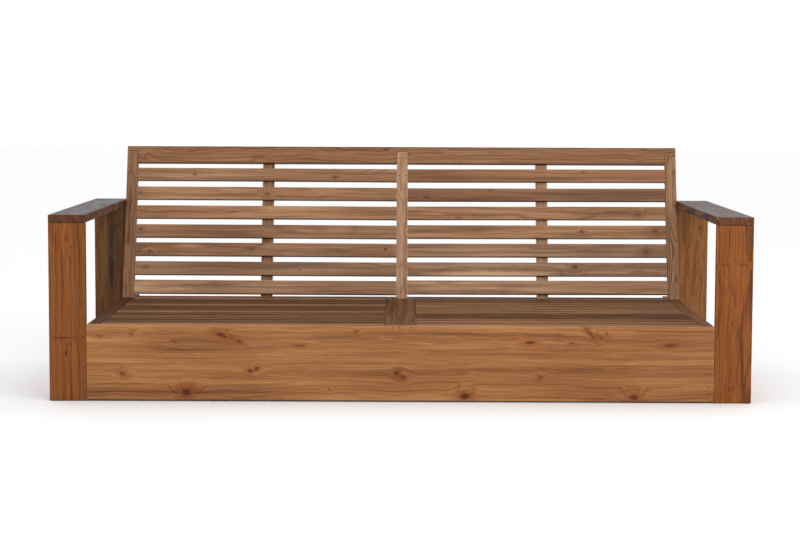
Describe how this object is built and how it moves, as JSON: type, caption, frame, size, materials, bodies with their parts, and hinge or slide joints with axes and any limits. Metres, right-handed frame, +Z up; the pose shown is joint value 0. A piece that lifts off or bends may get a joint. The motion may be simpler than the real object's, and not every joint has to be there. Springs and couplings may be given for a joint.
{
  "type": "porch swing",
  "caption": "Long slatted teak garden seat with board legs, flat board arms, a deep front apron and a leaning slatted back.",
  "frame": {"origin": "on the floor, at the middle of the bounding box's footprint", "axes": "+X along the seat to the right as seen from the front, +Y from the front to the back, +Z up"},
  "size_m": [2.25, 1.0388, 0.7915],
  "materials": {
    "teak_oiled": "sawn and planed teak board, oiled, warm brown with darker streaks, satin",
    "teak_apron": "edge-glued teak boards, lighter orange tan with small dark knots, satin",
    "teak_slats": "planed teak slats, each a slightly different tan, satin",
    "teak_seat": "planed teak seat slats, darker greyish brown, matt",
    "teak_weathered": "teak top weathered silver grey, with brown sawn edges, matt",
    "teak_hidden": "rough sawn teak, unoiled, matt"
  },
  "bodies": {
    "root": {"armrest_left": "teak_weathered", "armrest_right": "teak_weathered", "back_batten_left": "teak_hidden", "back_batten_right": "teak_hidden", "back_slat_left_1": "teak_slats", "back_slat_left_2": "teak_slats", "back_slat_left_3": "teak_slats", "back_slat_left_4": "teak_slats", "back_slat_left_5": "teak_slats", "back_slat_left_6": "teak_slats", "back_slat_left_7": "teak_slats", "back_slat_right_1": "teak_slats", "back_slat_right_2": "teak_slats", "back_slat_right_3": "teak_slats", "back_slat_right_4": "teak_slats", "back_slat_right_5": "teak_slats", "back_slat_right_6": "teak_slats", "back_slat_right_7": "teak_slats", "back_stile_centre": "teak_oiled", "back_stile_left": "teak_oiled", "back_stile_right": "teak_oiled", "back_top_rail": "teak_oiled", "front_apron": "teak_apron", "front_leg_left": "teak_oiled", "front_leg_right": "teak_oiled", "rear_leg_left": "teak_oiled", "rear_leg_right": "teak_oiled", "rear_rail": "teak_oiled", "seat_bearer_centre": "teak_hidden", "seat_bearer_left": "teak_hidden", "seat_bearer_right": "teak_hidden", "seat_centre_board": "teak_seat", "seat_edge_strip_left": "teak_seat", "seat_edge_strip_right": "teak_seat", "seat_slat_left_01": "teak_seat", "seat_slat_left_02": "teak_seat", "seat_slat_left_03": "teak_seat", "seat_slat_left_04": "teak_seat", "seat_slat_left_05": "teak_seat", "seat_slat_left_06": "teak_seat", "seat_slat_left_07": "teak_seat", "seat_slat_left_08": "teak_seat", "seat_slat_left_09": "teak_seat", "seat_slat_left_10": "teak_seat", "seat_slat_left_11": "teak_seat", "seat_slat_left_12": "teak_seat", "seat_slat_right_01": "teak_seat", "seat_slat_right_02": "teak_seat", "seat_slat_right_03": "teak_seat", "seat_slat_right_04": "teak_seat", "seat_slat_right_05": "teak_seat", "seat_slat_right_06": "teak_seat", "seat_slat_right_07": "teak_seat", "seat_slat_right_08": "teak_seat", "seat_slat_right_09": "teak_seat", "seat_slat_right_10": "teak_seat", "seat_slat_right_11": "teak_seat", "seat_slat_right_12": "teak_seat", "side_rail_left": "teak_oiled", "side_rail_right": "teak_oiled"}
  },
  "joints": []
}
